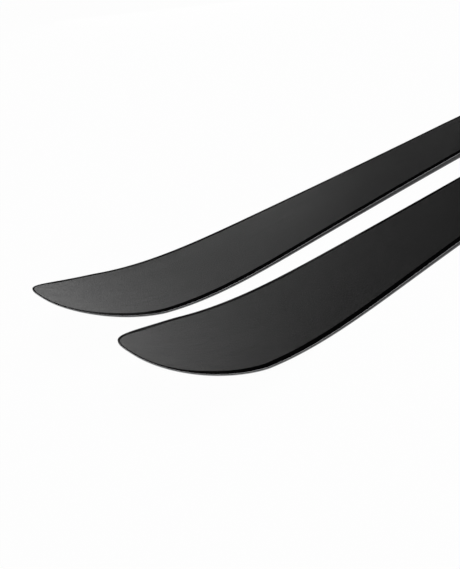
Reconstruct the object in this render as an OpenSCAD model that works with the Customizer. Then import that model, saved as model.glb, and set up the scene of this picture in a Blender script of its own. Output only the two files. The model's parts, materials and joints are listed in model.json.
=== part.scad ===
// A pair of alpine skis with step-in bindings, lying side by side on their bases.
// +X points to the tips, +Y to the left ski and +Z up. The origin is on the ground plane,
// midway between the two skis and at the middle of their length.

/* [Ski outline] */
// Length of a ski along the ground, from tip to tail
ski_len = 1840; // [1700:10:1940]
// Width that the sidecut would reach at the very tip
tip_w = 139.5; // [130:0.5:146]
// Width at the waist
waist_w = 94.8; // [92:0.2:98]
// Width that the sidecut would reach at the very tail
tail_w = 121; // [110:0.5:126]
// Distance from the tip to the waist
waist_at = 930; // [880:5:980]
// Length of the rounded nose of the tip
nose_len = 101; // [80:1:120]
// Length of the rounded end of the tail
tail_round_len = 46; // [30:1:70]
// Space between the centre lines of the two skis
pair_spacing = 148; // [146:1:200]

/* [Ski profile] */
// Height of the tip's underside above the ground
tip_rise = 60.5; // [40:0.5:75]
// Length of the turned-up front
tip_rise_len = 357; // [300:1:420]
// Height of the tail's underside above the ground
tail_rise = 9; // [4:0.5:14]
// Length of the turned-up tail
tail_rise_len = 120; // [90:1:160]
// Thickness at the tip
tip_t = 2; // [1.8:0.1:3]
// Thickness under the binding
waist_t = 10.7; // [10:0.1:13]
// Thickness at the tail
tail_t = 3.4; // [2.6:0.1:5]
// Length of the full thickness in front of the boot's toe
platform_ahead = 70; // [60:1:90]
// Length of the full thickness behind the boot's heel
platform_behind = 110; // [104:1:130]

/* [Ski layers] */
// Height of the running base and the steel edges under the binding
base_t = 1.9; // [1.6:0.1:2.4]
// Width of the steel edge, seen from below
edge_w = 2.2; // [1.8:0.1:3]
// Thickness of the lower reinforcing sheet
lower_sheet_t = 0.4; // [0.3:0.05:0.7]
// Thickness of the upper reinforcing sheet
upper_sheet_t = 0.6; // [0.4:0.05:0.9]
// Thickness of the topsheet and the shoulders beside it
topsheet_t = 1.3; // [1:0.1:1.8]
// Thickness of the glue line between two layers
bond_t = 0.05; // [0.04:0.01:0.08]
// Width of the sidewall, seen from above
sidewall_w = 6; // [5:0.5:9]
// Width of the slanted shoulder, seen from above
shoulder_w = 4; // [3:0.1:4.8]

/* [Boot] */
// Length of the boot sole
boot_len = 305; // [295:1:315]
// Distance of the boot's middle behind the ski's middle
boot_back = 108; // [95:1:120]
// Height of the boot sole above the topsheet
stand_h = 20; // [20:0.5:24]
// Height of the boot's toe lug
toe_lug_h = 19; // [18:0.1:20]
// Width of the boot's toe lug
toe_lug_w = 69; // [67:0.1:70]
// Height of the boot's heel lug
heel_lug_h = 30; // [29:0.1:31]

/* [Toe piece] */
// Thickness of the toe piece's base plate
toe_plate_t = 5; // [4:0.1:6]
// Width of the toe piece's base plate
toe_plate_w = 66; // [60:1:72]
// Length of the housing in front of the wing pins
nose_reach = 36; // [34:0.5:40]
// Distance from the boot's toe to the wing pins
wing_pin_ahead = 15.5; // [15:0.1:18]
// Distance from one wing pin to the centre line
wing_pin_y = 27; // [26.5:0.1:28]
// Radius of a wing pin
wing_pin_r = 3; // [2.5:0.1:3.5]
// Radius of a wing's hub
wing_hub_r = 8; // [7:0.1:8.5]
// Height of the hub of a wing
wing_hub_h = 16.8; // [14:0.1:18]
// Radius of the bore for the toe spring
toe_bore_r = 11; // [10:0.1:12]
// Thickness of the sliding anti-friction plate
afd_t = 4.7; // [4:0.1:5.5]
// Width of the sliding anti-friction plate
afd_w = 60; // [50:1:64]

/* [Heel piece] */
// Length of the heel track
track_len = 130; // [124:1:150]
// Width of the heel track
track_w = 60; // [56:1:64]
// Distance from the boot's heel to the back end of the heel track
track_behind = 102.5; // [98:0.5:106]
// Distance from the boot's heel to the heel pin
heel_pin_back = 44; // [42:0.5:48]
// Radius of the heel pin
heel_pin_r = 4; // [3:0.1:5]
// Width of the heel housing
heel_w = 58; // [52:1:58]
// Length of the heel housing behind the boot's heel
heel_reach = 80; // [78:1:84]
// Width of the heel lever
lever_w = 36; // [30:1:44]
// Length of the heel lever behind the boot's heel
lever_reach = 108; // [102:1:114]
// Radius of the lever's pin
lever_pin_r = 2.5; // [2:0.1:3]

/* [Brake] */
// Radius of the brake's bent steel wire
brake_wire_r = 2.5; // [2:0.1:2.8]
// Length of a brake arm, from its bearing to the foot
brake_arm_len = 72; // [60:1:84]
// Space between the ski's waist and the brake's feet
brake_side_gap = 2.4; // [2:0.1:4]
// Length of a brake foot
brake_foot_len = 34; // [26:1:40]

/* [Fasteners and fits] */
// Radius of a binding screw's shank
screw_r = 2.2; // [1.8:0.1:2.6]
// Radius of a binding screw's head
screw_head_r = 4.4; // [3.6:0.1:5]
// Depth of a binding screw in the ski
screw_depth = 7; // [5:0.1:7.5]
// Radial clearance of a pin or shaft that turns
running_gap = 0.06; // [0.03:0.01:0.1]
// Clearance between pieces that slide past each other
slide_gap = 0.3; // [0.2:0.05:0.4]

/* [Hidden] */
$fn = 48;
SKIS = ["left", "right"];
PIECES = ["base", "steel_edges", "lower_sheet", "core", "sidewalls", "upper_sheet", "shoulders",
    "topsheet", "binding_screws", "toe_base", "toe_housing", "toe_wing_left", "toe_wing_right",
    "wing_pins", "toe_spring", "toe_piston", "toe_setting_screw", "afd_plate", "heel_track",
    "heel_carriage", "length_screw", "heel_housing", "heel_pin", "heel_spring",
    "heel_setting_screw", "heel_lever", "lever_pin", "brake_arms", "brake_feet", "brake_pedal"];
eps = 0.01;
inf = 400;

// ---- places worked out from the sizes ----
top_z = waist_t;
boot_z = top_z + stand_h;
toe_x = boot_len / 2 - boot_back;
heel_x = -boot_len / 2 - boot_back;
platform_front = ski_len / 2 - toe_x - platform_ahead;
platform_back = ski_len / 2 - heel_x + platform_behind;
toe_plate_z = top_z + toe_plate_t;
wing_pin_x = toe_x + wing_pin_ahead;
nose_x = wing_pin_x + nose_reach;
wing_z = boot_z + 0.5;
wing_lip_z = boot_z + toe_lug_h + 0.5;
wing_lip_t = 4;
rod_z = wing_z + wing_hub_h / 2 - 0.6;
rod_r = 3.2;
spring_back_x = wing_pin_x + 13;
spring_front_x = nose_x - 8;
deck_z = wing_z + wing_hub_h + slide_gap;
toe_top_z = deck_z + 8;
track_z = top_z + 8.8;
track_flange_t = 2.5;
track_back_x = heel_x - track_behind;
track_neck_w = track_w - 16;
track_screw_y = track_neck_w / 2 - screw_head_r - 1;
carriage_z = track_z + slide_gap;
carriage_t = 3.2;
heel_pin_x = heel_x - heel_pin_back;
heel_pin_z = boot_z + 5;
cheek_t = 4;
brake_x = heel_x + 28.5;
brake_z = boot_z - 4.2;
brake_y = waist_w / 2 + brake_side_gap + 4;
brake_tilt = 2;
jaw_z = boot_z + heel_lug_h + 1;
carriage_front_x = heel_x + 20;
carriage_back_x = heel_pin_x - 30;
length_screw_z = carriage_z + 3.4;
heel_bore_r = 10.6;
heel_bore_z = boot_z + 27;
heel_bore_end_x = heel_x - 20;
heel_setting_x = heel_x - heel_reach + 19.8;
heel_setting_t = 9;
lever_end_x = heel_x - lever_reach;
lever_pin_x = heel_x - 52;
lever_pin_z = jaw_z + 19.5;
screw_spots = [
    [toe_x - 40.5, 20], [toe_x + 41.5, 16],
    [track_back_x + 10, track_screw_y], [track_back_x + track_len - 10, track_screw_y]];

// ---- the ski's form ----
// Half the width that the sidecut gives at a distance s behind the tip
function sidecut(s) = waist_w / 2 + (s < waist_at
    ? (tip_w - waist_w) / 2 * pow((waist_at - s) / waist_at, 2)
    : (tail_w - waist_w) / 2 * pow((s - waist_at) / (ski_len - waist_at), 2));
// Share of the full width at u, from 0 at the very end to 1 where the rounding stops
function rounding(u, blunt, full) = pow(1 - pow(1 - min(u, 1), blunt), 1 / full);
function half_width(s) = sidecut(s) * rounding(s / nose_len, 1.41, 2.71)
    * rounding((ski_len - s) / tail_round_len, 1.6, 3);
// Height of the underside
function lift(s) = tip_rise * pow(max(1 - s / tip_rise_len, 0), 3.61)
    + tail_rise * pow(max(1 - (ski_len - s) / tail_rise_len, 0), 2.4);
function thickness(s) = lookup(s, [[0, tip_t], [platform_front, waist_t],
    [platform_back, waist_t], [ski_len, tail_t]]);
// A layer's thickness, which runs with the ski's own from a share of the tip's to its full value
function layer(full_t, tip_share, s) = tip_t * tip_share
    + (full_t - tip_t * tip_share) * (thickness(s) - tip_t) / (waist_t - tip_t);
// Height of the boundary above the layer that a number names, from 0 below the base
function level(n, s) = lift(s) + (
    n == 0 ? 0 :
    n == 1 ? layer(base_t, 0.4, s) :
    n == 2 ? layer(base_t, 0.4, s) + layer(lower_sheet_t, 0.04, s) :
    n == 3 ? thickness(s) - layer(topsheet_t, 0.27, s) - layer(upper_sheet_t, 0.09, s) :
    n == 4 ? thickness(s) - layer(topsheet_t, 0.27, s) :
    thickness(s));

// Distances behind the tip at which the form is worked out, close together where it curves
NOSE_STEPS = 12;
RISE_STEPS = 12;
FLAT_STEPS = 5;
TAIL_STEPS = 8;
stations = concat(
    [for (i = [0 : NOSE_STEPS]) nose_len * pow(i / NOSE_STEPS, 2)],
    [for (i = [1 : RISE_STEPS]) nose_len + (tip_rise_len - nose_len) * i / RISE_STEPS],
    [for (i = [1 : FLAT_STEPS]) tip_rise_len + (platform_front - tip_rise_len) * i / FLAT_STEPS],
    [for (i = [1 : FLAT_STEPS]) platform_front + (platform_back - platform_front) * i / FLAT_STEPS],
    [for (i = [1 : FLAT_STEPS])
        platform_back + (ski_len - tail_rise_len - platform_back) * i / FLAT_STEPS],
    [for (i = [TAIL_STEPS - 1 : -1 : 0]) ski_len - tail_rise_len * pow(i / TAIL_STEPS, 2)]);
LAST = len(stations) - 1;
half_outline = [for (s = stations) [s, half_width(s)]];

// The half outline moved inwards by a distance, along the normal at each point
function along(i) = i == 0 ? [0, 1] : i == LAST ? [0, -1]
    : half_outline[i + 1] - half_outline[i - 1];
function inset(d) = [for (i = [0 : LAST]) let (t = along(i))
    half_outline[i] + d * [t.y, -t.x] / norm(t)];
// The whole outline at an inset, a level and a height above it, from the tip round the left side
// to the tail and back
function rim(d, n, above = 0) = let (
        half = inset(d),
        left = [for (p = half) [ski_len / 2 - p.x, p.y, level(n, p.x) + above]])
    concat(left, [for (i = [LAST - 1 : -1 : 1]) [left[i].x, -left[i].y, left[i].z]]);

// A solid layer between a lower and an upper rim
module slab(low, high) {
    around = len(low);
    side = [for (j = [0 : around - 1]) let (k = (j + 1) % around) [j, j + around, k + around, k]];
    strip = concat([[0, around - 1, 1]],
        [for (i = [1 : LAST - 2]) [i, around - i, around - i - 1, i + 1]],
        [[LAST - 1, LAST + 1, LAST]]);
    lid = [for (face = strip) [for (p = face) p + around]];
    floor = [for (face = strip) [for (i = [len(face) - 1 : -1 : 0]) face[i]]];
    polyhedron(points = concat(low, high), faces = concat(side, lid, floor));
}

// A closed strip that runs all round the ski, between rims that are named outer side first
module strip_round(rims) {
    around = len(rims[0]);
    sides = len(rims);
    polyhedron(points = [for (rim = rims) each rim],
        faces = [for (a = [0 : sides - 1], j = [0 : around - 1])
            let (b = (a + 1) % sides, k = (j + 1) % around)
            [a * around + j, b * around + j, b * around + k, a * around + k]]);
}

module base() color([0.06, 0.06, 0.065])
    slab(rim(edge_w, 0), rim(edge_w, 1));

module steel_edges() color([0.62, 0.63, 0.65])
    strip_round([rim(0, 0), rim(0, 1), rim(edge_w, 1), rim(edge_w, 0)]);

module lower_sheet() color([0.05, 0.05, 0.05])
    slab(rim(0, 1, bond_t), rim(0, 2));

module core() color([0.74, 0.6, 0.42]) difference() {
    slab(rim(sidewall_w, 2, bond_t), rim(sidewall_w, 3));
    screw_holes();
}

module sidewalls() color([0.3, 0.3, 0.31])
    strip_round([rim(0, 2, bond_t), rim(0, 3), rim(sidewall_w, 3), rim(sidewall_w, 2, bond_t)]);

module upper_sheet() color([0.72, 0.72, 0.72]) difference() {
    slab(rim(0, 3, bond_t), rim(0, 4));
    screw_holes();
}

module shoulders() color([0.03, 0.03, 0.03])
    strip_round([rim(0, 4, bond_t), rim(shoulder_w, 5), rim(shoulder_w, 4, bond_t)]);

module topsheet() color([0.09, 0.09, 0.095]) difference() {
    slab(rim(shoulder_w, 4, bond_t), rim(shoulder_w, 5));
    screw_holes();
}

// ---- helpers for the binding ----
module both_sides() {
    children();
    mirror([0, 1, 0]) children();
}

// A side profile in X and Z, drawn as wide as w across the ski
module across(w) translate([0, w / 2, 0]) rotate([90, 0, 0]) linear_extrude(w) children();

// A bar along X, from one end to the other
module rod_x(from, to, r, z, y = 0)
    translate([from, y, z]) rotate([0, 90, 0]) cylinder(h = to - from, r = r);

// A bar along Y, centred on the ski
module rod_y(w, r, x, z)
    translate([x, w / 2, z]) rotate([90, 0, 0]) cylinder(h = w, r = r);

// A corner's arc: two tangent points and those between them
CORNER_STEPS = 4;
function corner(a, b, c, r) =
    let (u = (a - b) / norm(a - b), v = (c - b) / norm(c - b),
        half = acos(max(min(u * v, 1), -1)) / 2,
        middle = b + (u + v) / norm(u + v) * r / sin(half),
        start = b + u * r / tan(half) - middle,
        end = b + v * r / tan(half) - middle)
    [for (i = [0 : CORNER_STEPS]) let (p = start * (1 - i / CORNER_STEPS) + end * i / CORNER_STEPS)
        middle + p / norm(p) * r];
// A polygon with each corner rounded by the radius that is its third number
function rounded(points) = let (n = len(points)) [for (i = [0 : n - 1])
    let (p = points[i], a = points[(i + n - 1) % n], c = points[(i + 1) % n])
    each (p.z > 0 ? corner([a.x, a.y], [p.x, p.y], [c.x, c.y], p.z) : [[p.x, p.y]])];

// A plan in X and Y whose two halves mirror, from one half's points
function both_halves(points) = concat(points,
    [for (i = [len(points) - 1 : -1 : 0]) [points[i].x, -points[i].y, points[i].z]]);

// A coil of round wire along X
COIL_SIDES = 6;
COIL_STEPS = 12;
module coil(from, to, r, wire_r, turns, z) {
    rings = turns * COIL_STEPS;
    points = [for (i = [0 : rings], k = [0 : COIL_SIDES - 1])
        let (turn = 360 * i / COIL_STEPS, a = 360 * k / COIL_SIDES,
            reach = r + wire_r * cos(a))
        [from + wire_r + (to - from - 2 * wire_r) * i / rings + wire_r * sin(a),
            reach * cos(turn), z + reach * sin(turn)]];
    sides = [for (i = [0 : rings - 1], k = [0 : COIL_SIDES - 1])
        let (a = i * COIL_SIDES, b = a + COIL_SIDES, n = (k + 1) % COIL_SIDES)
        [a + n, a + k, b + k, b + n]];
    polyhedron(points = points, faces = concat(sides,
        [[for (k = [0 : COIL_SIDES - 1]) k]],
        [[for (k = [COIL_SIDES - 1 : -1 : 0]) rings * COIL_SIDES + k]]));
}

module at_screws() for (spot = screw_spots) both_sides()
    translate([spot.x, spot.y, top_z]) children();

module screw_holes() at_screws()
    translate([0, 0, -screw_depth]) cylinder(h = screw_depth + 2, r = screw_r);

// The seat of the screws in a plate that is t thick
module screw_seats(t, spots) for (spot = spots) both_sides()
    translate([spot.x, spot.y, top_z]) {
        translate([0, 0, -eps]) cylinder(h = t + 2 * eps, r = screw_r);
        translate([0, 0, toe_plate_t - 3]) cylinder(h = t, r = screw_head_r);
    }

module binding_screws() color("silver") at_screws() difference() {
    union() {
        translate([0, 0, -screw_depth]) cylinder(h = screw_depth + toe_plate_t - 3, r = screw_r);
        translate([0, 0, toe_plate_t - 3]) cylinder(h = 2.4, r = screw_head_r);
    }
    for (turn = [0, 90]) rotate(turn)
        translate([-2.6, -0.5, toe_plate_t - 1.8]) cube([5.2, 1, 2]);
}

// ---- toe piece ----
toe_plan = both_halves([
    [nose_x + 3, 14.5, 6], [wing_pin_x + 17, 29, 12], [wing_pin_x + 2, wing_pin_y + 9, 8],
    [wing_pin_x - 11, wing_pin_y + 4, 4]]);
toe_profile = [
    [wing_pin_x - 60, top_z, 0], [nose_x + 3, top_z, 0], [nose_x + 2, toe_plate_z + 8, 6],
    [nose_x, rod_z + 13, 5], [nose_x - 13, toe_top_z, 14], [wing_pin_x - 60, toe_top_z, 0]];

module toe_base() color([0.08, 0.08, 0.085]) difference() {
    union() {
        translate([0, 0, top_z]) linear_extrude(toe_plate_t) polygon(rounded(both_halves([
            [nose_x + 2, 16, 8], [wing_pin_x + 17, toe_plate_w / 2, 14],
            [toe_x - 50, toe_plate_w / 2, 6]])));
        // the seat of the sliding plate, with its rail across the ski
        translate([toe_x - 33, -22, toe_plate_z - eps])
            cube([28, 44, boot_z - afd_t - slide_gap - toe_plate_z + eps]);
        translate([toe_x - 23, -18, toe_plate_z]) cube([8, 36, boot_z - afd_t + 1.9 - toe_plate_z]);
    }
    screw_seats(toe_plate_t, [screw_spots[0], screw_spots[1]]);
}

module toe_housing() color([0.07, 0.07, 0.075]) difference() {
    intersection() {
        across(2 * inf) polygon(rounded(toe_profile));
        translate([0, 0, toe_plate_z]) linear_extrude(inf) polygon(rounded(toe_plan));
    }
    // the gap between the two decks, where the wings turn
    translate([wing_pin_x - inf, -inf, wing_z - slide_gap])
        cube([inf + wing_hub_r + 1, 2 * inf, deck_z - wing_z + slide_gap]);
    // the pins' seats
    both_sides() translate([wing_pin_x, wing_pin_y, toe_plate_z + 4])
        cylinder(h = inf, r = wing_pin_r);
    // the tie rod's hole, and the bore for the spring and its setting screw
    rod_x(wing_pin_x, nose_x, rod_r + running_gap, rod_z);
    rod_x(spring_back_x, nose_x + 8, toe_bore_r, rod_z);
    // grooves that lighten the nose on both sides
    both_sides() for (i = [0 : 2])
        translate([wing_pin_x + 14 + 5.5 * i, 16, toe_plate_z + 4.5])
            cube([2.4, 30, 9 - 1.5 * i]);
}

// One wing, for the left side: its hub, the arm beside the boot, the lip above the lug and the
// short lever inside that pulls the tie rod
arm_y = toe_lug_w / 2 + 0.5 - wing_pin_y;
module toe_wing() translate([wing_pin_x, wing_pin_y, 0]) difference() {
    union() {
        translate([0, 0, wing_z]) cylinder(h = wing_hub_h, r = wing_hub_r);
        translate([0, 0, wing_z]) linear_extrude(wing_hub_h) polygon([
            [0, wing_hub_r], [-13, arm_y + 4], [-15, -5], [0, -wing_hub_r]]);
        translate([0, 0, wing_z]) linear_extrude(wing_lip_z + wing_lip_t - wing_z)
            polygon(rounded([[-12, arm_y + 3.4, 2], [-30, arm_y + 7, 6], [-37, arm_y + 5, 3],
                [-37, arm_y + 1, 1], [-28, arm_y - 3, 4], [-22, -1, 4], [-12.5, -5.5, 1]]));
        translate([0, 0, wing_lip_z]) linear_extrude(wing_lip_t)
            polygon(rounded([[-36, arm_y + 2, 2], [-36, arm_y - 9, 3], [-24, -9, 3],
                [-12.5, -6, 2], [-12.5, 2, 2]]));
        translate([-3, -12, rod_z - 5]) cube([6, 8, 10]);
    }
    translate([0, 0, wing_z - eps]) cylinder(h = inf, r = wing_pin_r + running_gap);
    // pressure grooves in the arm's outer side
    for (i = [0 : 2]) translate([-20 - 5 * i, arm_y + 6.5, wing_z + 4]) cylinder(h = 12, r = 1.4);
}

module toe_wing_left() color([0.1, 0.1, 0.105]) toe_wing();
module toe_wing_right() color([0.1, 0.1, 0.105]) mirror([0, 1, 0]) toe_wing();

module wing_pins() color("silver") both_sides()
    translate([wing_pin_x, wing_pin_y, toe_plate_z + 4])
        cylinder(h = toe_top_z - toe_plate_z - 4.5, r = wing_pin_r);

module toe_piston() color("gray") {
    rod_x(wing_pin_x - 4, nose_x - 6, rod_r, rod_z);
    translate([wing_pin_x - 6.3, -17, rod_z - 6]) cube([3, 34, 12]);
}

module toe_spring() color("silver")
    coil(spring_back_x + 0.1, spring_front_x - 1.9, 8, 1.3, 4, rod_z);

module toe_setting_screw() color([0.55, 0.56, 0.58]) difference() {
    union() {
        rod_x(spring_front_x - 1.8, nose_x - 1, toe_bore_r - 0.4, rod_z);
        rod_x(nose_x - 1 - eps, nose_x + 0.6, toe_bore_r - 3.4, rod_z);
    }
    rod_x(spring_front_x - 3, nose_x - 6, rod_r + running_gap, rod_z);
    translate([nose_x - 1.4, -6, rod_z - 0.9]) cube([3, 12, 1.8]);
}

module afd_plate() color([0.75, 0.75, 0.74]) difference() {
    translate([0, 0, boot_z - afd_t]) linear_extrude(afd_t)
        polygon(rounded(both_halves([[toe_x - 4, afd_w / 2 - 6, 6], [toe_x - 18, afd_w / 2, 8],
            [toe_x - 46, afd_w / 2, 5]])));
    translate([toe_x - 23 - slide_gap, -inf, boot_z - inf - afd_t + 1.9 + slide_gap])
        cube([8 + 2 * slide_gap, 2 * inf, inf]);
    // shallow grooves across the plate
    for (i = [0 : 3]) translate([toe_x - 41 + 4 * i, -inf, boot_z - 0.5]) cube([1.2, 2 * inf, 2]);
}

// ---- heel piece ----
// A section across the ski, in Y and the height above the topsheet, drawn along X
module along_ski(from, to) translate([from, 0, top_z]) rotate([90, 0, 90])
    linear_extrude(to - from) children();

track_section = let (w = track_w / 2, n = track_neck_w / 2, h = track_z - top_z,
        f = track_flange_t)
    [[-w, 0], [w, 0], [w, f], [n, f], [n, h - f], [w, h - f], [w, h], [-w, h],
        [-w, h - f], [-n, h - f], [-n, f], [-w, f]];

module heel_track() color([0.09, 0.09, 0.095]) difference() {
    along_ski(track_back_x, track_back_x + track_len) polygon(track_section);
    // the rack that the length screw works along
    for (i = [0 : 14]) translate([track_back_x + 22 + 4 * i, -3.6, track_z - 1.2])
        cube([2, 7.2, 3]);
    screw_seats(track_z - top_z, [screw_spots[2], screw_spots[3]]);
}

carriage_section = let (w = track_w / 2 + slide_gap, n = track_neck_w / 2 + slide_gap,
        b = track_flange_t + slide_gap, t = track_z - top_z - track_flange_t - slide_gap,
        f = carriage_z - top_z, h = f + carriage_t)
    [[-w - 3.4, b - 1], [-w - 3.4, h], [w + 3.4, h], [w + 3.4, b - 1], [w, b - 1], [w, b],
        [n, b], [n, t], [w, t], [w, f], [-w, f], [-w, t], [-n, t], [-n, b], [-w, b], [-w, b - 1]];

module heel_carriage() color([0.11, 0.11, 0.115]) difference() {
    union() {
        along_ski(carriage_back_x, carriage_front_x) polygon(carriage_section);
        // cheeks that hold the heel pin
        both_sides() translate([heel_pin_x, heel_w / 2 + slide_gap, 0])
            rotate([-90, 0, 0]) linear_extrude(cheek_t) polygon(rounded([
                [-22, -carriage_z, 0], [-12, -heel_pin_z - 12, 10], [12, -heel_pin_z - 12, 10],
                [26, -carriage_z, 0]]));
        // ears for the brake's wire
        both_sides() translate([carriage_front_x - 4, 22, carriage_z])
            cube([brake_x + 10 - carriage_front_x, 6, boot_z - 0.5 - carriage_z]);
        // boss of the length screw
        translate([carriage_back_x, -7, carriage_z]) cube([12, 14, 7]);
    }
    rod_y(inf, heel_pin_r, heel_pin_x, heel_pin_z);
    rod_y(inf, brake_wire_r + running_gap, brake_x, brake_z);
    rod_x(carriage_back_x - 1, carriage_back_x + 15, 2.6 + running_gap, length_screw_z);
}

module length_screw() color("silver") difference() {
    union() {
        rod_x(carriage_back_x - 3, carriage_back_x - 0.1, 3.2, length_screw_z);
        rod_x(carriage_back_x - 1, carriage_back_x + 14, 2.6, length_screw_z);
    }
    translate([carriage_back_x - 4, -4, length_screw_z - 0.6]) cube([2.4, 8, 1.2]);
}

heel_profile = [
    [heel_x + 9, boot_z - 6, 1.5], [heel_x + 9, jaw_z + 6, 3], [heel_x - 12, jaw_z + 15, 12],
    [heel_x - 48, jaw_z + 13, 10], [heel_x - heel_reach, jaw_z + 7, 8],
    [heel_pin_x - 28, heel_pin_z + 17, 6],
    [heel_pin_x - 15, heel_pin_z, 4], [heel_pin_x - 9, heel_pin_z - 8, 3],
    [heel_pin_x + 6, boot_z - 6, 0]];
heel_plan = both_halves([
    [heel_x + 14, heel_w / 2, 3], [heel_pin_x - 14, heel_w / 2, 10],
    [heel_x - heel_reach - 6, heel_w / 2 - 9, 6]]);

module heel_housing() color([0.07, 0.07, 0.075]) difference() {
    union() {
        intersection() {
            across(2 * inf) polygon(rounded(heel_profile));
            linear_extrude(inf) polygon(rounded(heel_plan));
        }
        rod_y(heel_w, 11.5, heel_pin_x, heel_pin_z);
        // ears that hold the lever's pin
        both_sides() translate([lever_pin_x, lever_w / 2 + slide_gap, 0])
            rotate([-90, 0, 0]) linear_extrude(4) polygon(rounded([
                [-14, -jaw_z - 8, 0], [-7, -lever_pin_z - 6, 6], [7, -lever_pin_z - 6, 6],
                [14, -jaw_z - 10, 0]]));
    }
    // the cup for the boot's heel, with the jaw above and the treadle below
    translate([heel_x + 35, 0, boot_z - 1]) cylinder(h = jaw_z - boot_z + 1, r = 36.5);
    // the bore for the heel spring and its setting screw
    rod_x(heel_x - heel_reach - 30, heel_bore_end_x, heel_bore_r, heel_bore_z);
    rod_y(inf, heel_pin_r + running_gap, heel_pin_x, heel_pin_z);
    rod_y(inf, lever_pin_r, lever_pin_x, lever_pin_z);
    // scale window and cooling grooves on both sides
    both_sides() for (i = [0 : 3])
        translate([heel_x - 20 - 7 * i, heel_w / 2 - 1.2, heel_bore_z - 6]) cube([3, 10, 16 - 2 * i]);
}

module heel_pin() color("silver")
    rod_y(heel_w + 2 * slide_gap + 2 * cheek_t - 1, heel_pin_r, heel_pin_x, heel_pin_z);

module heel_spring() color("silver")
    coil(heel_setting_x + 0.2, heel_bore_end_x - 0.2, 8, 1.5, 6, heel_bore_z);

module heel_setting_screw() color([0.55, 0.56, 0.58]) difference() {
    rod_x(heel_setting_x - heel_setting_t, heel_setting_x, heel_bore_r - 0.3, heel_bore_z);
    translate([heel_setting_x - heel_setting_t - 2, -7, heel_bore_z - 0.9]) cube([3.6, 14, 1.8]);
}

lever_profile = [
    [heel_x - 22, jaw_z + 15.6, 1], [heel_x - 22, jaw_z + 19, 2], [heel_x - 46, jaw_z + 25, 12],
    [lever_end_x + 24, jaw_z + 26, 16], [lever_end_x + 2, jaw_z + 33, 3],
    [lever_end_x, jaw_z + 27, 2], [lever_end_x + 24, jaw_z + 18, 14],
    [heel_x - 60, jaw_z + 15.4, 8]];
module heel_lever() color([0.1, 0.1, 0.105]) difference() {
    intersection() {
        across(lever_w) polygon(rounded(lever_profile));
        linear_extrude(inf) polygon(rounded(both_halves([
            [heel_x - 20, lever_w / 2 - 8, 4], [heel_x - 46, lever_w / 2, 20],
            [lever_end_x - 2, lever_w / 2 - 3, 9]])));
    }
    rod_y(inf, lever_pin_r + running_gap, lever_pin_x, lever_pin_z);
    // dimple for the pole's point, and ribs for the thumb
    translate([lever_end_x + 34, 0, jaw_z + 42]) sphere(r = 19);
    for (i = [0 : 3]) translate([lever_end_x + 18 - 3.6 * i, -inf, jaw_z + 27.1 + 1.1 * i])
        rotate([0, 18, 0]) cube([1.2, 2 * inf, 6]);
}

module lever_pin() color("silver")
    rod_y(lever_w + 2 * slide_gap + 7.4, lever_pin_r, lever_pin_x, lever_pin_z);

// ---- brake ----
module brake_arms() color("silver") {
    rod_y(2 * brake_y, brake_wire_r, brake_x, brake_z);
    both_sides() translate([brake_x, brake_y, brake_z]) {
        sphere(r = brake_wire_r);
        rotate([0, -90 + brake_tilt, 0]) cylinder(h = brake_arm_len + 8, r = brake_wire_r);
    }
}

module brake_feet() color([0.08, 0.08, 0.085]) both_sides()
    translate([brake_x, brake_y, brake_z]) rotate([0, brake_tilt, 0]) difference() {
        translate([-brake_arm_len - brake_foot_len, 4, 0]) rotate([90, 0, 0]) linear_extrude(8)
            polygon(rounded([[brake_foot_len, -4.5, 3], [brake_foot_len, 4.5, 3],
                [brake_foot_len * 0.6, 6.5, 6], [6, 9, 4], [0, 3, 2], [4, -6, 6],
                [brake_foot_len * 0.6, -6.5, 6]]));
        rod_x(-brake_arm_len - 8, 1, brake_wire_r, 0);
        for (i = [0 : 3]) translate([-brake_arm_len - brake_foot_len + 10 + 4 * i, 3.2, -4])
            cube([1.6, 2, 8]);
    }

module brake_pedal() color([0.1, 0.1, 0.105]) difference() {
    union() {
        rod_y(43, boot_z - brake_z, brake_x, brake_z);
        translate([0, 0, boot_z - 3.4]) linear_extrude(3.4) polygon(rounded(both_halves([
            [brake_x + 44, 16, 10], [brake_x + 20, 21.5, 14], [brake_x, 21.5, 0]])));
        both_sides() translate([brake_x, 12, boot_z - 6]) cube([34, 3, 4]);
    }
    rod_y(inf, brake_wire_r, brake_x, brake_z);
    for (i = [0 : 5]) translate([brake_x + 10 + 4.4 * i, -inf, boot_z - 0.6])
        cube([1.4, 2 * inf, 2]);
}

// ---- one ski of the pair, at its own place ----
module on(ski) translate([0, (ski == "left" ? 1 : -1) * pair_spacing / 2, 0]) children();

for (ski = SKIS) {
    on(ski) base();
    on(ski) steel_edges();
    on(ski) lower_sheet();
    on(ski) core();
    on(ski) sidewalls();
    on(ski) upper_sheet();
    on(ski) shoulders();
    on(ski) topsheet();
    on(ski) binding_screws();
    on(ski) toe_base();
    on(ski) toe_housing();
    on(ski) toe_wing_left();
    on(ski) toe_wing_right();
    on(ski) wing_pins();
    on(ski) toe_spring();
    on(ski) toe_piston();
    on(ski) toe_setting_screw();
    on(ski) afd_plate();
    on(ski) heel_track();
    on(ski) heel_carriage();
    on(ski) length_screw();
    on(ski) heel_housing();
    on(ski) heel_pin();
    on(ski) heel_spring();
    on(ski) heel_setting_screw();
    on(ski) heel_lever();
    on(ski) lever_pin();
    on(ski) brake_arms();
    on(ski) brake_feet();
    on(ski) brake_pedal();
}
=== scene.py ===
# %% [markdown]
# # A pair of alpine skis with step-in bindings
# The solid model gives every piece its real size and place, and its joints. This script
# dresses it: the skis get smooth, close-set surfaces in place of the solid model's facets,
# the bindings get rounded edges, and every surface gets a finish made from shader nodes.

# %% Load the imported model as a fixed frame
import json
import math

import bmesh
import bpy
from mathutils import Matrix, Vector


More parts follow.
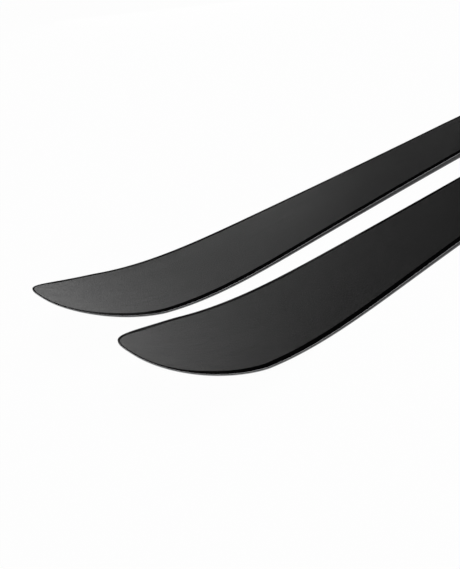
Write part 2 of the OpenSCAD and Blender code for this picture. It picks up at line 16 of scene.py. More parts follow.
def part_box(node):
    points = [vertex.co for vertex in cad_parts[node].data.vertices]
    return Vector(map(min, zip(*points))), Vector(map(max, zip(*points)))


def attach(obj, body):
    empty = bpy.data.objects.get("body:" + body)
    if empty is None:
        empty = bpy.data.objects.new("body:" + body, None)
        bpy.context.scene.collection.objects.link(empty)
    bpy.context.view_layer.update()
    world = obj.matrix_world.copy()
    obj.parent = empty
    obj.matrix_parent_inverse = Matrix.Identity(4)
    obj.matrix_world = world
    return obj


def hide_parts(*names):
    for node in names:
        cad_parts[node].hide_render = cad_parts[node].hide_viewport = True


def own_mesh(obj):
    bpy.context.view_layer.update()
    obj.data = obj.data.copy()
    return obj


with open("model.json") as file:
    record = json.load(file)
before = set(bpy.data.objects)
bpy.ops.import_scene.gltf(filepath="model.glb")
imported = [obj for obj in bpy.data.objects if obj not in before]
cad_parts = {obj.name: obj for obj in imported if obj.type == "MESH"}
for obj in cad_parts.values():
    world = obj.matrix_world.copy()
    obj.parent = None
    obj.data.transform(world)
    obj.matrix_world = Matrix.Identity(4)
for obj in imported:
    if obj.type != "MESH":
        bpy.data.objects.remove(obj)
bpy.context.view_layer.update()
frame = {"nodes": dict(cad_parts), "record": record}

# %% [markdown]
# Everything is in metres. The places of the skis are read from the frame and not typed in,
# so that the surfaces stay on the solid model if it moves: the tips' position along X, the
# length, and the centre line of each ski along Y.

# %% Where the skis lie
MM = 0.001
low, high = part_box("left_steel_edges")
TIP_X = high.x
SKI_LENGTH = high.x - low.x
SKI_Y = {"left": (low.y + high.y) / 2, "right": sum(p.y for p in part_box("right_steel_edges")) / 2}
print("length", round(SKI_LENGTH, 4), "centre lines", SKI_Y)

# %% [markdown]
# The outline of a ski is its sidecut, a shallow curve from a wide tip over a narrow waist to
# a fairly wide tail, multiplied by a rounding at each end. It could be a hand-drawn curve,
# but formulas of the distance behind the tip stay smooth at any number of points.

# %% Outline
# Widths of the sidecut: carried on to the very tip, at the waist, carried on to the tail's end
TIP_WIDTH, WAIST_WIDTH, TAIL_WIDTH = 139.5 * MM, 94.8 * MM, 121 * MM
WAIST_AT = 930 * MM
# Rounding of each end: its length, how wide its shoulders are and how flat its end is
NOSE_LENGTH, NOSE_FULL, NOSE_FLAT = 101 * MM, 1.41, 2.71
TAIL_LENGTH, TAIL_FULL, TAIL_FLAT = 46 * MM, 1.6, 3


def sidecut(s):
    end_width, reach = (TIP_WIDTH, WAIST_AT) if s < WAIST_AT else (TAIL_WIDTH, SKI_LENGTH - WAIST_AT)
    return WAIST_WIDTH / 2 + (end_width - WAIST_WIDTH) / 2 * ((WAIST_AT - s) / reach) ** 2


def rounding(u, full, flat):
    """Grows from 0 at the ski's end to 1, along a quarter of a superellipse."""
    return (1 - (1 - min(u, 1)) ** full) ** (1 / flat)


def half_width(s):
    return sidecut(s) * rounding(s / NOSE_LENGTH, NOSE_FULL, NOSE_FLAT) * rounding(
        (SKI_LENGTH - s) / TAIL_LENGTH, TAIL_FULL, TAIL_FLAT)


print("widest", round(2 * max(half_width(s * MM) for s in range(round(SKI_LENGTH / MM))), 4))

# %% [markdown]
# Seen from the side, the base is flat, curls up at the tip and a little at the tail. The ski
# is thickest on the platform that carries the binding and gets thin towards both ends.

# %% Side view
# Curl of each end: its height, its length and how late it turns up
TIP_RISE, TIP_RISE_LENGTH, TIP_CURL = 60.5 * MM, 357 * MM, 3.61
TAIL_RISE, TAIL_RISE_LENGTH, TAIL_CURL = 9 * MM, 120 * MM, 2.4
TIP_THICK, WAIST_THICK, TAIL_THICK = 2 * MM, 10.7 * MM, 3.4 * MM
PLATFORM = (805.5 * MM, 1290.5 * MM)


def lift(s):
    tail = max(1 - (SKI_LENGTH - s) / TAIL_RISE_LENGTH, 0)
    return TIP_RISE * max(1 - s / TIP_RISE_LENGTH, 0) ** TIP_CURL + TAIL_RISE * tail ** TAIL_CURL


def thickness(s):
    front, back = PLATFORM
    if s < front:
        return TIP_THICK + (WAIST_THICK - TIP_THICK) * s / front
    return WAIST_THICK - (WAIST_THICK - TAIL_THICK) * max(s - back, 0) / (SKI_LENGTH - back)


print("tip is up by", round(lift(0), 4), "thickness at the waist", round(thickness(WAIST_AT), 4))

# %% [markdown]
# A ski is a sandwich. From below: the base between its steel edges, a thin sheet of rubber,
# the core between its sidewalls, an alloy sheet, and the topsheet inside its slanted
# shoulder. Each layer gets thin towards the ends with the ski itself, so every boundary
# between two layers is one function of the distance behind the tip.

# %% Heights of the boundaries between the layers
# Each layer's thickness on the platform, and its share of the ski's thickness at the tip
BASE_THICK, BASE_SHARE = 1.9 * MM, 0.4
LOWER_THICK, LOWER_SHARE = 0.4 * MM, 0.04
UPPER_THICK, UPPER_SHARE = 0.6 * MM, 0.09
TOP_THICK, TOP_SHARE = 1.3 * MM, 0.27
UNDERSIDE, EDGE_TOP, RUBBER_TOP, SIDEWALL_TOP, ALLOY_TOP, SKI_TOP = range(6)


def layer(full, tip_share, s):
    thin = TIP_THICK * tip_share
    return thin + (full - thin) * (thickness(s) - TIP_THICK) / (WAIST_THICK - TIP_THICK)


def level(boundary, s):
    """Height of a boundary, from the underside of the base to the top of the ski."""
    top = thickness(s)
    edge = layer(BASE_THICK, BASE_SHARE, s)
    cap = layer(TOP_THICK, TOP_SHARE, s)
    return lift(s) + (0, edge, edge + layer(LOWER_THICK, LOWER_SHARE, s),
                      top - cap - layer(UPPER_THICK, UPPER_SHARE, s), top - cap, top)[boundary]


print("boundaries at the waist", [round(level(n, WAIST_AT), 5) for n in range(6)])

# %% [markdown]
# The stations lie close together where the form curves fast: at the nose, along the curled
# tip and at the tail. Even steps would need several times as many points for the same nose.

# %% Stations along the ski
NOSE_STEPS, CURL_STEPS, BODY_STEPS, TAIL_STEPS = 40, 36, 48, 26


def run(start, end, steps):
    return [start + (end - start) * (i + 1) / steps for i in range(steps)]


stations = [NOSE_LENGTH * (i / NOSE_STEPS) ** 2 for i in range(NOSE_STEPS + 1)]
stations += run(NOSE_LENGTH, TIP_RISE_LENGTH, CURL_STEPS)
stations += run(TIP_RISE_LENGTH, SKI_LENGTH - TAIL_RISE_LENGTH, BODY_STEPS)
stations += [SKI_LENGTH - TAIL_RISE_LENGTH * (i / TAIL_STEPS) ** 2
             for i in range(TAIL_STEPS - 1, -1, -1)]
half_outline = [Vector((s, half_width(s))) for s in stations]
LAST = len(stations) - 1
print("stations:", len(stations))

# %% [markdown]
# Moving the outline inwards along its normal gives the line where an edge, a shoulder or the
# topsheet ends. The black border round the topsheet is narrower at the nose, so the move can
# start as a share of itself there and reach its full depth a little way behind the tip.

# %% The outline moved inwards
NARROW_UNTIL = 42 * MM


def moved_in(d, at_nose=1.0):
    """The half outline, from tip to tail, moved inwards by d, or by a share of it at the nose."""
    points = []
    for i, p in enumerate(half_outline):
        if i in (0, LAST):
            normal = Vector((1 if i == 0 else -1, 0))
        else:
            t = half_outline[i + 1] - half_outline[i - 1]
            normal = Vector((t.y, -t.x)).normalized()
        share = at_nose + (1 - at_nose) * min(p.x / NARROW_UNTIL, 1)
        q = p + d * share * normal
        points.append(Vector((q.x, max(q.y, 0))))
    return points


def rim(d, boundary, ski_y, at_nose=1.0):
    """The closed outline at an inset and a layer boundary, as points in the frame."""
    half = moved_in(d, at_nose)
    left = [Vector((TIP_X - p.x, ski_y + p.y, level(boundary, p.x))) for p in half]
    right = [Vector((p.x, 2 * ski_y - p.y, p.z)) for p in left[-2:0:-1]]
    return left + right


print("points in a rim:", len(rim(0, UNDERSIDE, 0)))

# %% [markdown]
# A finished mesh becomes one object at the origin that rides on its body and hides the
# solid that it stands for. Faces are smooth, and an edge that turns by more than the crease
# angle stays sharp.

# %% From a bmesh to a piece of the object
CREASE = 35


def make_piece(name, bm, body, finish, hides, crease=CREASE):
    mesh = bpy.data.meshes.new(name)
    bm.to_mesh(mesh)
    bm.free()
    mesh.shade_smooth()
    mesh.set_sharp_from_angle(angle=math.radians(crease))
    piece = bpy.data.objects.new(name, mesh)
    bpy.context.scene.collection.objects.link(piece)
    mesh.materials.append(finish)
    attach(piece, body)
    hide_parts(*hides)
    return piece


print("crease", CREASE, "degrees")

# %% [markdown]
# ## Shader nodes as expressions
# `Value` wraps a socket so that sums and products can be written as plain Python. `Finish`
# makes a material, and its `node` method makes any other node. With these two, a finish
# reads like a recipe: which noise, how far it is stretched, and what it changes.

# %% A small language for shader maths
class Value:
    def __init__(self, finish, socket):
        self.finish, self.socket = finish, socket

    def maths(self, operation, a, b):
        return self.finish.node("ShaderNodeMath", {"operation": operation}, {0: a, 1: b})

    def __add__(self, other):
        return self.maths("ADD", self, other)

    def __radd__(self, other):
        return self.maths("ADD", other, self)

    def __mul__(self, other):
        return self.maths("MULTIPLY", self, other)

    def __rmul__(self, other):
        return self.maths("MULTIPLY", other, self)


class Finish:
    def __init__(self, name):
        self.material = bpy.data.materials.new(name)
        self.material.use_nodes = True
        self.tree = self.material.node_tree
        self.tree.nodes.clear()
        self.shader = self.tree.nodes.new("ShaderNodeBsdfPrincipled")
        out = self.tree.nodes.new("ShaderNodeOutputMaterial")
        self.tree.links.new(self.shader.outputs[0], out.inputs["Surface"])

    def put(self, socket, value):
        if isinstance(value, Value):
            self.tree.links.new(value.socket, socket)
        elif hasattr(value, "__len__") and socket.type == "RGBA" and len(value) == 3:
            socket.default_value = (*value, 1)
        else:
            socket.default_value = value

    def node(self, kind, settings=None, inputs=None, output=0):
        made = self.tree.nodes.new(kind)
        for key, value in (settings or {}).items():
            setattr(made, key, value)
        for key, value in (inputs or {}).items():
            self.put(made.inputs[key], value)
        return Value(self, made.outputs[output])

    def here(self):
        """The surface's own coordinates in metres."""
        return self.node("ShaderNodeTexCoord", output="Object")

    def place(self, scale=(1, 1, 1), turn=(0, 0, 0)):
        """Those coordinates, scaled along each axis so that a pattern has a direction."""
        return self.node("ShaderNodeMapping", None,
                         {"Vector": self.here(), "Scale": scale, "Rotation": turn})

    def near_tip(self, start, end):
        """0 behind the start and 1 ahead of the end, two places along X."""
        return self.spread(self.node("ShaderNodeSeparateXYZ", None, {0: self.here()}), start, end)

    def noise(self, where, scale, detail=3.0, rough=0.55):
        return self.node("ShaderNodeTexNoise", None,
                         {"Vector": where, "Scale": scale, "Detail": detail, "Roughness": rough})

    def spread(self, value, low, high, to_low=0.0, to_high=1.0):
        """A value's range from low to high, mapped to another range and held at its ends."""
        return self.node("ShaderNodeMapRange", {"clamp": True}, {
            "Value": value, "From Min": low, "From Max": high, "To Min": to_low, "To Max": to_high})

    def blend(self, share, a, b):
        return self.node("ShaderNodeMix", {"data_type": "RGBA"}, {0: share, 6: a, 7: b}, output=2)

    def bump(self, height, distance, strength=1.0, under=None):
        inputs = {"Height": height, "Distance": distance, "Strength": strength}
        if under is not None:
            inputs["Normal"] = under
        return self.node("ShaderNodeBump", None, inputs)

    def set(self, **sockets):
        for key, value in sockets.items():
            self.put(self.shader.inputs[key.replace("_", " ").title().replace("Ior", "IOR")], value)
        return self.material


# %% [markdown]
# ## The ski's own finishes
# The topsheet is matte black plastic with a fine grain that runs along the ski. Three noises
# make it: pores that are nearly round, a fine grain stretched along X, and long soft streaks.
# So dark a colour hardly shows a pattern. The grain is therefore also in the roughness and
# the bump, where it breaks up the sheen.

# %% Topsheet
def topsheet_finish():
    f = Finish("topsheet_black")
    speck = f.noise(f.place((520, 700, 300)), 1.0, 3.0, 0.75)
    fine = f.noise(f.place((14, 900, 60)), 1.0, 4.0, 0.6)
    streak = f.noise(f.place((3, 260, 10)), 1.0, 4.0, 0.65)
    grain = f.spread(fine * 0.5 + speck * 0.5, 0.36, 0.64)
    soft = f.spread(streak, 0.34, 0.66)
    color = f.blend(grain * 0.6 + soft * 0.4, (0.0026, 0.0026, 0.0027), (0.0072, 0.0072, 0.0074))
    rough = 0.35 + 0.10 * grain + 0.03 * soft
    pores = f.bump(speck, 0.0004, 1.0)
    return f.set(base_color=color, roughness=rough, ior=1.45, specular_ior_level=0.5,
                 normal=f.bump(grain, 0.00005, 0.6, pores))


TOPSHEET = topsheet_finish()
print("made", TOPSHEET.name)

# %% [markdown]
# The shoulder is a slanted border of deep black gloss. A common gloss would mirror the pale
# floor at this flat angle and turn grey, so the black itself reflects nothing, and a thin
# uneven coat gives the little shine that it has. Faint scuffs run along it.

# %% Shoulder
def shoulder_finish():
    f = Finish("shoulder_gloss_black")
    wave = f.noise(f.place((20, 60, 60)), 1.0, 2.0)
    scuff = f.spread(f.noise(f.place((8, 400, 90)), 1.0, 4.0, 0.65), 0.5, 0.75)
    return f.set(base_color=f.blend(scuff, (0.0026, 0.0026, 0.0028), (0.007, 0.007, 0.0072)),
                 roughness=0.4, specular_ior_level=0.0,
                 coat_weight=f.spread(wave, 0.35, 0.7, 0.04, 0.12), coat_roughness=0.12,
                 normal=f.bump(wave, 0.0001, 0.25))


SHOULDER = shoulder_finish()
print("made", SHOULDER.name)

# %% [markdown]
# The sidewalls are ground plastic, and the alloy sheet and the steel edges show the fine
# lines of the belt that cut them. All three are darker along the ski's middle and brighter
# round the curled tip, a painted shade and a painted reflection of how the light falls,
# which `near_tip` brings in as a share of the colour.

# %% Sidewalls, alloy sheet and steel edges
def sidewall_finish():
    f = Finish("sidewall_abs")
    ground = f.noise(f.place((40, 40, 1600)), 1.0, 3.0)
    cloud = f.noise(f.place((9, 9, 30)), 1.0, 2.0)
    # Painted light: seven tenths of this share is a painted shade along the middle and a painted
    # reflection round the curled tip; three tenths is a random cloud of tone.
    share = f.spread(cloud, 0.35, 0.65) * 0.3 + f.near_tip(0.50, 0.88) * 0.7
    return f.set(base_color=f.blend(share, (0.008, 0.008, 0.009), (0.060, 0.060, 0.062)),
                 specular_ior_level=0.2, roughness=f.spread(ground, 0.3, 0.7, 0.34, 0.5),
                 normal=f.bump(ground, 0.00004, 0.5))


def cut_metal_finish(name, painted_shade_color, painted_reflection_color, rough_low, rough_high):
    f = Finish(name)
    lines = f.noise(f.place((60, 900, 2200)), 1.0, 3.0)
    # Painted light: four fifths of this share runs from a painted shade along the middle to a painted
    # reflection round the curled tip; one fifth follows the cut lines.
    share = f.spread(lines, 0.3, 0.7) * 0.2 + f.near_tip(0.45, 0.85) * 0.8
    return f.set(base_color=f.blend(share, painted_shade_color, painted_reflection_color),
                 metallic=1.0, roughness=f.spread(lines, 0.3, 0.7, rough_low, rough_high),
                 normal=f.bump(lines, 0.00003, 0.4))


SIDEWALL = sidewall_finish()
# For both metals the first colour is a painted shade for the ski's middle and the second a painted
# reflection for the curled tip.
CUT_ALLOY = cut_metal_finish("cut_alloy", (0.44, 0.44, 0.45), (0.90, 0.90, 0.91), 0.30, 0.44)
EDGE_STEEL = cut_metal_finish("edge_steel", (0.09, 0.092, 0.095), (0.46, 0.465, 0.47), 0.22, 0.38)
print("made", SIDEWALL.name, CUT_ALLOY.name, EDGE_STEEL.name)

# %% [markdown]
# The thin sheet of rubber shows as a dark line under the sidewall. The base is black plastic
# that a stone has ground: two sets of fine lines, one along the ski and one turned by less
# than a degree, cross at a small angle. The core is wood in strips, covered on all sides.

# %% Rubber, base and core
def rubber_sheet_finish():
    f = Finish("rubber_sheet")
    speck = f.noise(f.place(), 1400.0, 2.0)
    return f.set(base_color=f.blend(speck, (0.004, 0.004, 0.004), (0.012, 0.012, 0.012)),
                 roughness=0.55, normal=f.bump(speck, 0.00003, 0.4))


def base_finish():
    f = Finish("running_base")
    lines = f.noise(f.place((6, 1500, 1)), 1.0, 4.0, 0.65)
    cross = f.noise(f.place((5, 1300, 1), (0, 0, 0.012)), 1.0, 3.0, 0.6)
    ground = f.spread(lines * 0.5 + cross * 0.5, 0.35, 0.65)
    return f.set(base_color=f.blend(ground, (0.006, 0.006, 0.0065), (0.019, 0.019, 0.020)),
                 roughness=0.24 + 0.16 * ground, normal=f.bump(ground, 0.00004, 0.6))


def wood_finish():
    f = Finish("core_wood")
    strips = f.noise(f.place((2, 90, 20)), 1.0, 4.0)
    return f.set(base_color=f.blend(strips, (0.42, 0.27, 0.14), (0.62, 0.45, 0.27)), roughness=0.6,
                 normal=f.bump(strips, 0.0001, 0.4))


RUBBER = rubber_sheet_finish()
BASE = base_finish()
WOOD = wood_finish()
print("finishes:", len(bpy.data.materials))

# %% [markdown]
# ## The layers of a ski
# Each layer that shows at the side is a closed strip. A circle of vertices is laid on the
# first rim, its edge loop is extruded from rim to rim, and the last loop is bridged back to
# the first. A narrow bevel then breaks the corners, so that each layer catches its own light.

# %% Strips that run round the ski
SHARP_TURN = 0.6
ROUND_STEPS = 2


def extrude_to(bm, loop, order, points):
    """Extrudes an edge loop and lays its new vertices on the next rim's points."""
    made = bmesh.ops.extrude_edge_only(bm, edges=loop)["geom"]
    fresh = {v for v in made if isinstance(v, bmesh.types.BMVert)}
    place = {}
    for vertex in fresh:
        parent = next(e.other_vert(vertex) for e in vertex.link_edges if e.other_vert(vertex) in order)
        place[vertex] = order[parent]
        vertex.co = points[place[vertex]]
    ahead = [e for e in made if isinstance(e, bmesh.types.BMEdge) and fresh.issuperset(e.verts)]
    return ahead, place


def strip(rims, corner=0.0):
    bm = bmesh.new()
    bmesh.ops.create_circle(bm, segments=len(rims[0]), radius=1)
    bm.verts.ensure_lookup_table()
    order = {vertex: i for i, vertex in enumerate(bm.verts)}
    for vertex, i in order.items():
        vertex.co = rims[0][i]
    first = loop = bm.edges[:]
    for points in rims[1:]:
        loop, order = extrude_to(bm, loop, order, points)
    bmesh.ops.bridge_loops(bm, edges=first + loop)
    bmesh.ops.recalc_face_normals(bm, faces=bm.faces)
    if corner:
        sharp = [e for e in bm.edges if e.calc_face_angle(0) > SHARP_TURN]
        bmesh.ops.bevel(bm, geom=sharp, offset=corner, segments=ROUND_STEPS, profile=0.5,
                        affect="EDGES", material=-1)
    return bm


print("an edge that turns by", SHARP_TURN, "radians counts as a corner")

# %% [markdown]
# The topsheet and the base are sheets: a grid is shaped to the outline, station by station,
# its ends close to a point, and it is extruded to the sheet's thickness. A filled outline
# would be quicker to make, but its long thin triangles would show on the curled tip.

# %% Sheets that fill the outline
ACROSS = 16
SAME_POINT, NO_LENGTH = 1e-6, 1e-7


def sheet(d, upper, lower, ski_y, at_nose=1.0):
    half = moved_in(d, at_nose)
    bm = bmesh.new()
    bmesh.ops.create_grid(bm, x_segments=LAST, y_segments=ACROSS, size=1)
    for vertex in bm.verts:
        p = half[round((vertex.co.x + 1) / 2 * LAST)]
        vertex.co = (TIP_X - p.x, ski_y + p.y * vertex.co.y, level(upper, p.x))
    made = bmesh.ops.extrude_face_region(bm, geom=bm.faces[:])["geom"]
    for vertex in [v for v in made if isinstance(v, bmesh.types.BMVert)]:
        vertex.co.z = level(lower, TIP_X - vertex.co.x)
    bmesh.ops.remove_doubles(bm, verts=bm.verts, dist=SAME_POINT)
    bmesh.ops.dissolve_degenerate(bm, edges=bm.edges, dist=NO_LENGTH)
    bmesh.ops.recalc_face_normals(bm, faces=bm.faces)
    return bm


print("faces across a sheet:", ACROSS)

# %% [markdown]
# Seven layers show on each ski. Four are square strips, one to a row of the table: how far
# in they start and end, the boundaries under and over them, the radius of their corners,
# their finish, its slot, and the solid that they stand for. The shoulder is a wedge that
# slants up to the topsheet. Its border is a little wider than the solid's and gets narrow
# round the nose.

# %% The seven layers that show, on each ski
EDGE_WIDTH, SIDEWALL_WIDTH, SHEET_DEPTH, RUBBER_RECESS = 2.2 * MM, 6 * MM, 1.6 * MM, 0.15 * MM
BLACK_BORDER, BORDER_AT_NOSE = 5.8 * MM, 0.26
STRIPS = {
    "edge": (0, EDGE_WIDTH, UNDERSIDE, EDGE_TOP, 0.12 * MM,
             EDGE_STEEL, "edge_steel", "steel_edges"),
    "rubber": (RUBBER_RECESS, SHEET_DEPTH, EDGE_TOP, RUBBER_TOP, 0,
               RUBBER, "dark_sheet", "lower_sheet"),
    "sidewall": (0, SIDEWALL_WIDTH, RUBBER_TOP, SIDEWALL_TOP, 0.1 * MM,
                 SIDEWALL, "sidewall", "sidewalls"),
    "alloy": (0, SHEET_DEPTH, SIDEWALL_TOP, ALLOY_TOP, 0.06 * MM,
              CUT_ALLOY, "light_metal", "upper_sheet")}

for ski, y in SKI_Y.items():
    body = f"{ski}_ski"
    for name, (outer, inner, under, over, corner, finish, slot, node) in STRIPS.items():
        rims = [rim(outer, under, y), rim(outer, over, y), rim(inner, over, y), rim(inner, under, y)]
        make_piece(f"{ski}_{name}_strip", strip(rims, corner), body, finish, [f"{ski}_{node}"])
    wedge = [rim(0, ALLOY_TOP, y), rim(BLACK_BORDER, SKI_TOP, y, BORDER_AT_NOSE),
             rim(BLACK_BORDER, ALLOY_TOP, y, BORDER_AT_NOSE)]
    make_piece(f"{ski}_shoulder_strip", strip(wedge), body, SHOULDER,
               [f"{ski}_shoulders"])
    make_piece(f"{ski}_top_skin", sheet(BLACK_BORDER, SKI_TOP, ALLOY_TOP, y, BORDER_AT_NOSE), body,
               TOPSHEET, [f"{ski}_topsheet"])
    make_piece(f"{ski}_base_skin", sheet(EDGE_WIDTH, EDGE_TOP, UNDERSIDE, y), body,
               BASE, [f"{ski}_base"])

# %% [markdown]
# ## The bindings
# Housings, wings, lever and brake claws are moulded plastic with a pebbled skin and a slow
# change of shade. Screws, pins and wire are plated steel, the springs are darker, and the
# dials are a bright alloy. A fine noise in the roughness keeps each from looking painted.

# %% Finishes of the bindings
def plastic_finish(name, dark, light, rough_low=0.34, rough_high=0.5, grain=0.00006):
    f = Finish(name)
    pebble = f.noise(f.place(), 900.0, 2.0, 0.5)
    cloud = f.noise(f.place(), 40.0, 3.0)
    return f.set(base_color=f.blend(f.spread(cloud, 0.3, 0.7), dark, light),
                 roughness=f.spread(cloud, 0.3, 0.7, rough_low, rough_high),
                 normal=f.bump(pebble, grain, 0.5))


def metal_finish(name, color, rough_low, rough_high):
    f = Finish(name)
    fine = f.noise(f.place((300, 300, 1500)), 1.0, 3.0)
    cloud = f.noise(f.place(), 120.0, 3.0)
    share = f.spread(cloud, 0.35, 0.65)
    return f.set(base_color=f.blend(share, [c * 0.8 for c in color], color), metallic=1.0,
                 roughness=f.spread(fine, 0.3, 0.7, rough_low, rough_high),
                 normal=f.bump(fine, 0.00002, 0.3))


PLASTIC = plastic_finish("moulded_black", (0.017, 0.017, 0.018), (0.028, 0.028, 0.029))
TOUGH = plastic_finish("tough_black", (0.030, 0.030, 0.032), (0.046, 0.046, 0.048), 0.42, 0.58)
GLIDE = plastic_finish("glide_pale", (0.42, 0.42, 0.41), (0.50, 0.50, 0.49), 0.2, 0.3, 0.00002)
STEEL = metal_finish("plated_steel", (0.58, 0.58, 0.60), 0.22, 0.36)
SPRING = metal_finish("spring_steel", (0.40, 0.40, 0.42), 0.28, 0.42)
DIAL = metal_finish("dial_alloy", (0.66, 0.66, 0.67), 0.26, 0.38)
print("finishes:", len(bpy.data.materials))

# %% [markdown]
# The solid model's binding pieces are exact but sharp. Modelling them again could make them
# drift from the solids, so a copy of each is merged into one surface, its flat facets are
# dissolved, and a Bevel modifier rounds its edges, as a moulded or tumbled piece has them.
# The table gives each piece its finish and the width of its rounding in millimetres, which
# is 0 for a wire or a spring. The core shows nowhere and keeps its own mesh.

# %% Dress every binding piece
WEAR = {
    "binding_screws": (STEEL, 0.15), "toe_base": (PLASTIC, 0.6), "toe_housing": (PLASTIC, 0.9),
    "toe_wing_left": (TOUGH, 0.8), "toe_wing_right": (TOUGH, 0.8), "wing_pins": (STEEL, 0.4),
    "toe_spring": (SPRING, 0), "toe_piston": (STEEL, 0.4), "toe_setting_screw": (DIAL, 0.4),
    "afd_plate": (GLIDE, 0.4), "heel_track": (PLASTIC, 0.4), "heel_carriage": (PLASTIC, 0.6),
    "length_screw": (STEEL, 0.2), "heel_housing": (PLASTIC, 0.9), "heel_pin": (STEEL, 0.4),
    "heel_spring": (SPRING, 0), "heel_setting_screw": (DIAL, 0.4), "heel_lever": (TOUGH, 0.8),
    "lever_pin": (STEEL, 0.3), "brake_arms": (STEEL, 0), "brake_feet": (TOUGH, 0.9),
    "brake_pedal": (TOUGH, 0.7)}
BODY_OF = {node: body for body, nodes in frame["record"]["behaviour"]["bodies"].items()
           for node in nodes}
BINDING_CREASE = 32
SAME_CORNER = 2e-6
FLAT_WITHIN = math.radians(1.0)
ROUNDING_STEPS = 3


def dressed(node, finish, width):
    bm = bmesh.new()
    bm.from_mesh(frame["nodes"][node].data)
    bmesh.ops.remove_doubles(bm, verts=bm.verts, dist=SAME_CORNER)
    bmesh.ops.dissolve_limit(bm, angle_limit=FLAT_WITHIN, verts=bm.verts, edges=bm.edges)
    piece = make_piece(f"{node}_made", bm, BODY_OF[node], finish, [node],
                       BINDING_CREASE)
    if width:
        soft = piece.modifiers.new("rounded_edges", "BEVEL")
        soft.width, soft.segments, soft.limit_method = width * MM, ROUNDING_STEPS, "ANGLE"
        soft.angle_limit = math.radians(BINDING_CREASE)
        soft.harden_normals = True


for ski in SKI_Y:
    for name, (finish, width) in WEAR.items():
        dressed(f"{ski}_{name}", finish, width)
    core = frame["nodes"][f"{ski}_core"].data
    core.materials.clear()
    core.materials.append(WOOD)

# %% [markdown]
# The tie rod runs through the toe spring and carries the spring's front end with it, while
# the back end stays on the wall of the bore. So the spring gets shorter by the rod's travel.
# This cell only reads each spring's box and gives its dressed piece a mesh of its own; it
# does not shorten it.

# %% Give the toe springs meshes of their own
for ski in SKI_Y:
    low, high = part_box(f"{ski}_toe_spring")
    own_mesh(bpy.data.objects[f"{ski}_toe_spring_made"])

# %% [markdown]
# ## Stage, light and camera
# The floor is white to the camera and in reflections, and it still takes a faint shadow. It
# mixes an emission with a plain white, and the share of plain white is what a shadow can
# darken. It lies a little under the skis, so that it shares no plane with their bases.

# %% Floor
SHADOW_SHARE = 0.02
FLOOR_REACH = 12.0
FLOOR_DROP = 0.6 * MM


def white_floor():
    bm = bmesh.new()
    bmesh.ops.create_grid(bm, x_segments=1, y_segments=1, size=FLOOR_REACH)
    bmesh.ops.translate(bm, verts=bm.verts, vec=(0, 0, -FLOOR_DROP))
    mesh = bpy.data.meshes.new("floor")
    bm.to_mesh(mesh)
    bm.free()
    floor = bpy.data.objects.new("floor", mesh)
    bpy.context.scene.collection.objects.link(floor)
    f = Finish("floor_white")
    f.set(base_color=(0.9, 0.9, 0.9), roughness=0.9, specular_ior_level=0.0)
    path = f.tree.nodes.new("ShaderNodeLightPath")
    seen = sum((Value(f, path.outputs[f"Is {kind} Ray"]) for kind in ("Glossy", "Transmission")),
               Value(f, path.outputs["Is Camera Ray"]))
    glow = f.node("ShaderNodeEmission", None, {"Color": (1, 1, 1), "Strength": 1.0})
    shown = f.node("ShaderNodeMixShader", None, {
        0: seen * (1 - SHADOW_SHARE), 1: Value(f, f.shader.outputs[0]), 2: glow})
    out = next(n for n in f.tree.nodes if n.type == "OUTPUT_MATERIAL")
    f.tree.links.new(shown.socket, out.inputs["Surface"])
    mesh.materials.append(f.material)


white_floor()
print("floor lies", FLOOR_DROP, "under the skis")

# %% [markdown]
# A black surface is drawn by what it mirrors. The room is dark to the surfaces in it, so that
# they stay black, and one wide lamp overhead lights every colour at a plain level. Two
# softboxes stand low on the far side of the skis: the matte topsheet shows them as a broad
# sheen that is strongest at the curled tips. A lamp's place could be typed in as three
# lengths, but what counts is the direction in which it is mirrored, so each is placed by
# the direction and the distance in which a point of the X axis sees it.

# %% Room and lamps
ROOM_LEVEL = 0.03


def studio(dark):
    """A room that is dark to the surfaces in it, and white behind them to the camera."""
    world = bpy.data.worlds.new("studio")
    bpy.context.scene.world = world
    world.use_nodes = True
    tree = world.node_tree
    tree.nodes.clear()
    path = tree.nodes.new("ShaderNodeLightPath")
    shade = tree.nodes.new("ShaderNodeMapRange")
    shade.inputs["To Min"].default_value = dark
    room = tree.nodes.new("ShaderNodeBackground")
    out = tree.nodes.new("ShaderNodeOutputWorld")
    tree.links.new(path.outputs["Is Camera Ray"], shade.inputs["Value"])
    tree.links.new(shade.outputs[0], room.inputs["Strength"])
    tree.links.new(room.outputs[0], out.inputs["Surface"])
    room.inputs["Color"].default_value = (1, 1, 1, 1)


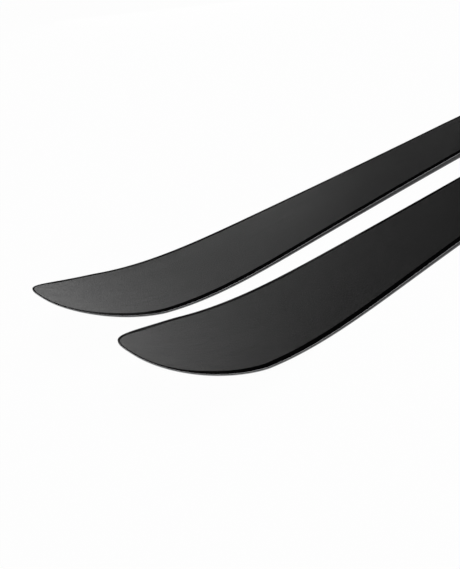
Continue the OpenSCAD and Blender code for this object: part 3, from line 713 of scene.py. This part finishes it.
def soft_lamp(name, aim_x, azimuth, elevation, distance, width, height, radiance):
    """A rectangular lamp that the aim sees in a direction, at a brightness where 1 is white."""
    lamp = bpy.data.lights.new(name, "AREA")
    lamp.shape, lamp.size, lamp.size_y = "RECTANGLE", width, height
    lamp.energy = radiance * math.pi * width * height
    made = bpy.data.objects.new(name, lamp)
    bpy.context.scene.collection.objects.link(made)
    turn, rise = math.radians(azimuth), math.radians(elevation)
    away = Vector((math.cos(turn) * math.cos(rise), math.sin(turn) * math.cos(rise), math.sin(rise)))
    made.location = Vector((aim_x, 0, 0)) + away * distance
    made.rotation_euler = away.to_track_quat("Z", "Y").to_euler()
    made.visible_camera = False


studio(ROOM_LEVEL)
soft_lamp("overhead", aim_x=0.2, azimuth=60, elevation=88, distance=2.6,
          width=2.0, height=2.0, radiance=2.0)
soft_lamp("far_softbox", aim_x=0.5, azimuth=236, elevation=10, distance=2.0,
          width=0.95, height=0.8, radiance=1.32)
soft_lamp("end_softbox", aim_x=0.3, azimuth=214, elevation=9, distance=3.0,
          width=1.2, height=0.9, radiance=0.31)
print("lamps:", len(bpy.data.lights))

# %% [markdown]
# The camera stands in front of the tips and to the left, about 40 cm up, and looks down along
# the pair, so that the tips are near and large and the skis run out of the picture. Its place
# is measured from the left ski's tip, and yaw, pitch and roll give its three axes in turn.

# %% Camera
IMAGE_HEIGHT = 569
FOCAL_PIXELS = 707.28
YAW, PITCH, ROLL = math.radians(48.77), math.radians(29.68), math.radians(-5.26)
EYE_FROM_TIP = Vector((260.54, 433.14, 402.35)) * MM
CLIP_START = 0.01

forward = Vector((-math.cos(YAW) * math.cos(PITCH), -math.sin(YAW) * math.cos(PITCH), -math.sin(PITCH)))
side = forward.cross(Vector((0, 0, 1))).normalized()
upward = side.cross(forward)
right = math.cos(ROLL) * side + math.sin(ROLL) * upward
up = math.cos(ROLL) * upward - math.sin(ROLL) * side
camera = bpy.data.objects.new("camera", bpy.data.cameras.new("camera"))
bpy.context.scene.collection.objects.link(camera)
camera.data.lens = FOCAL_PIXELS * camera.data.sensor_width / IMAGE_HEIGHT
camera.data.clip_start = CLIP_START
turned = Matrix((right, up, -forward)).transposed().to_4x4()
camera.matrix_world = Matrix.Translation(EYE_FROM_TIP + Vector((TIP_X, SKI_Y["left"], 0))) @ turned
bpy.context.scene.camera = camera
bpy.context.scene.view_settings.view_transform = "Standard"
print("lens", round(camera.data.lens, 2), "mm")
